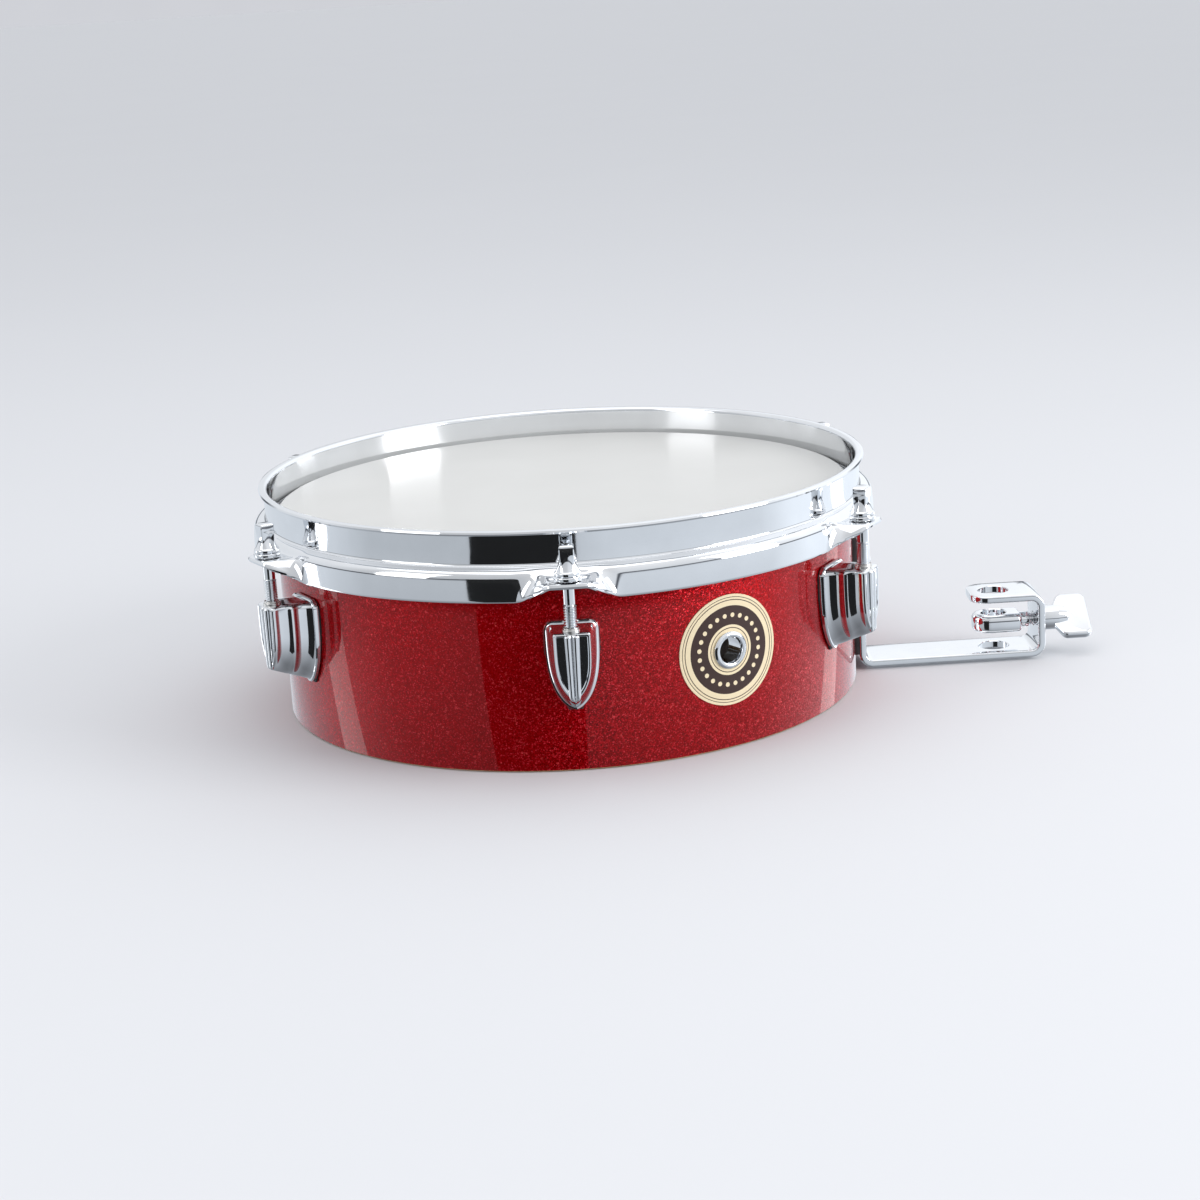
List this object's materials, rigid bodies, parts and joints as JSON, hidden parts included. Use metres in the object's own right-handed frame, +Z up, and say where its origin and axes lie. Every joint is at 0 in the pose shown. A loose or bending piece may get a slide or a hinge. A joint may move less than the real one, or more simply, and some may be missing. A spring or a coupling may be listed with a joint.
{
  "type": "snare drum",
  "caption": "Shallow single-headed side snare drum with a flanged hoop, single-ended lugs, a rod bracket and an internal snare unit.",
  "frame": {"origin": "centre of the shell's lower edge plane", "axes": "+Z up along the drum's axis, +X towards the rod bracket, -Y towards the front lug"},
  "size_m": [0.3692, 0.2972, 0.1006],
  "materials": {
    "shell": "clear sealed birch ply",
    "wrap": "candy red sparkle under clear gloss",
    "badge": "printed foil, cream and dark brown",
    "chrome": "polished chrome plate",
    "steel": "zinc-plated steel",
    "alloy": "satin aluminium",
    "head": "coated film, warm white",
    "rubber": "matt black",
    "wire": "bright coiled steel wire"
  },
  "bodies": {
    "drum_shell": {"shell": "shell", "wrap": "wrap", "badge": "badge", "vent_grommet": "chrome", "lug_1": "chrome", "lug_2": "chrome", "lug_3": "chrome", "lug_4": "chrome", "lug_5": "chrome", "lug_6": "chrome", "lug_gaskets": "rubber", "swivel_nuts": "steel", "lug_screws": "steel", "lug_washers": "steel", "mount_bracket": "chrome", "bracket_pad": "rubber", "backing_plate": "steel", "bracket_bolts": "chrome", "bracket_nuts": "steel", "strainer_base": "chrome", "strainer_gasket": "rubber", "strainer_screws": "steel", "lever_pin": "steel", "guide_bar": "steel", "guide_pin": "steel"},
    "tension_hoop": {"counter_hoop": "chrome", "flesh_hoop": "alloy", "drum_head": "head", "rod_washers": "steel"},
    "rod_1": {"tension_rod_1": "chrome"},
    "rod_2": {"tension_rod_2": "chrome"},
    "rod_3": {"tension_rod_3": "chrome"},
    "rod_4": {"tension_rod_4": "chrome"},
    "rod_5": {"tension_rod_5": "chrome"},
    "rod_6": {"tension_rod_6": "chrome"},
    "throw_off": {"throw_off_lever": "chrome"},
    "strainer_slide": {"snare_slider": "chrome"},
    "tension_knob": {"snare_knob": "chrome"},
    "snare_frame": {"snare_carrier": "alloy", "snare_end_bars": "alloy", "snare_wires": "wire"},
    "eye": {"eye_bolt": "chrome"},
    "wing": {"wing_nut": "chrome"}
  },
  "joints": [
    {"name": "hoop_lift", "type": "slide", "parent": "drum_shell", "child": "tension_hoop", "axis": [0, 0, 1], "range_m": [0, 0.004]},
    {"name": "rod_turn_1", "type": "hinge", "parent": "tension_hoop", "child": "rod_1", "pos_m": [0, -0.1424, 0.07], "axis": [0, 0, 1], "range_deg": [0, 1370]},
    {"name": "rod_turn_2", "type": "hinge", "parent": "tension_hoop", "child": "rod_2", "pos_m": [0.12332, -0.0712, 0.07], "axis": [0, 0, 1], "range_deg": [0, 1370]},
    {"name": "rod_turn_3", "type": "hinge", "parent": "tension_hoop", "child": "rod_3", "pos_m": [0.12332, 0.0712, 0.07], "axis": [0, 0, 1], "range_deg": [0, 1370]},
    {"name": "rod_turn_4", "type": "hinge", "parent": "tension_hoop", "child": "rod_4", "pos_m": [0, 0.1424, 0.07], "axis": [0, 0, 1], "range_deg": [0, 1370]},
    {"name": "rod_turn_5", "type": "hinge", "parent": "tension_hoop", "child": "rod_5", "pos_m": [-0.12332, 0.0712, 0.07], "axis": [0, 0, 1], "range_deg": [0, 1370]},
    {"name": "rod_turn_6", "type": "hinge", "parent": "tension_hoop", "child": "rod_6", "pos_m": [-0.12332, -0.0712, 0.07], "axis": [0, 0, 1], "range_deg": [0, 1370]},
    {"name": "throw_off_swing", "type": "hinge", "parent": "drum_shell", "child": "throw_off", "pos_m": [0.0705, 0.12211, 0.036], "axis": [-0.866, 0.5, 0], "range_deg": [0, 80]},
    {"name": "strainer_drop", "type": "slide", "parent": "drum_shell", "child": "strainer_slide", "axis": [0, 0, 1], "range_m": [-0.0041, 0]},
    {"name": "knob_turn", "type": "hinge", "parent": "strainer_slide", "child": "tension_knob", "pos_m": [0.07175, 0.12427, 0.06], "axis": [0, 0, 1], "range_deg": [-722, 0]},
    {"name": "snare_drop", "type": "slide", "parent": "strainer_slide", "child": "snare_frame", "axis": [0, 0, 1], "range_m": [-0.0014, 0]},
    {"name": "wing_turn", "type": "hinge", "parent": "drum_shell", "child": "wing", "pos_m": [0.2112, 0, 0.0155], "axis": [1, 0, 0], "range_deg": [-362, 1082]},
    {"name": "eye_slide", "type": "slide", "parent": "drum_shell", "child": "eye", "axis": [1, 0, 0], "range_m": [-0.003, 0.001]}
  ],
  "couplings": [
    {"joint": "rod_turn_1", "follows": "hoop_lift", "rad_per_m": 5938.7},
    {"joint": "rod_turn_2", "follows": "hoop_lift", "rad_per_m": 5938.7},
    {"joint": "rod_turn_3", "follows": "hoop_lift", "rad_per_m": 5938.7},
    {"joint": "rod_turn_4", "follows": "hoop_lift", "rad_per_m": 5938.7},
    {"joint": "rod_turn_5", "follows": "hoop_lift", "rad_per_m": 5938.7},
    {"joint": "rod_turn_6", "follows": "hoop_lift", "rad_per_m": 5938.7},
    {"joint": "strainer_drop", "follows": "throw_off_swing", "m_per_rad": -0.0028635},
    {"joint": "knob_turn", "follows": "snare_drop", "rad_per_m": 8976},
    {"joint": "wing_turn", "follows": "eye_slide", "rad_per_m": -6283.2}
  ]
}
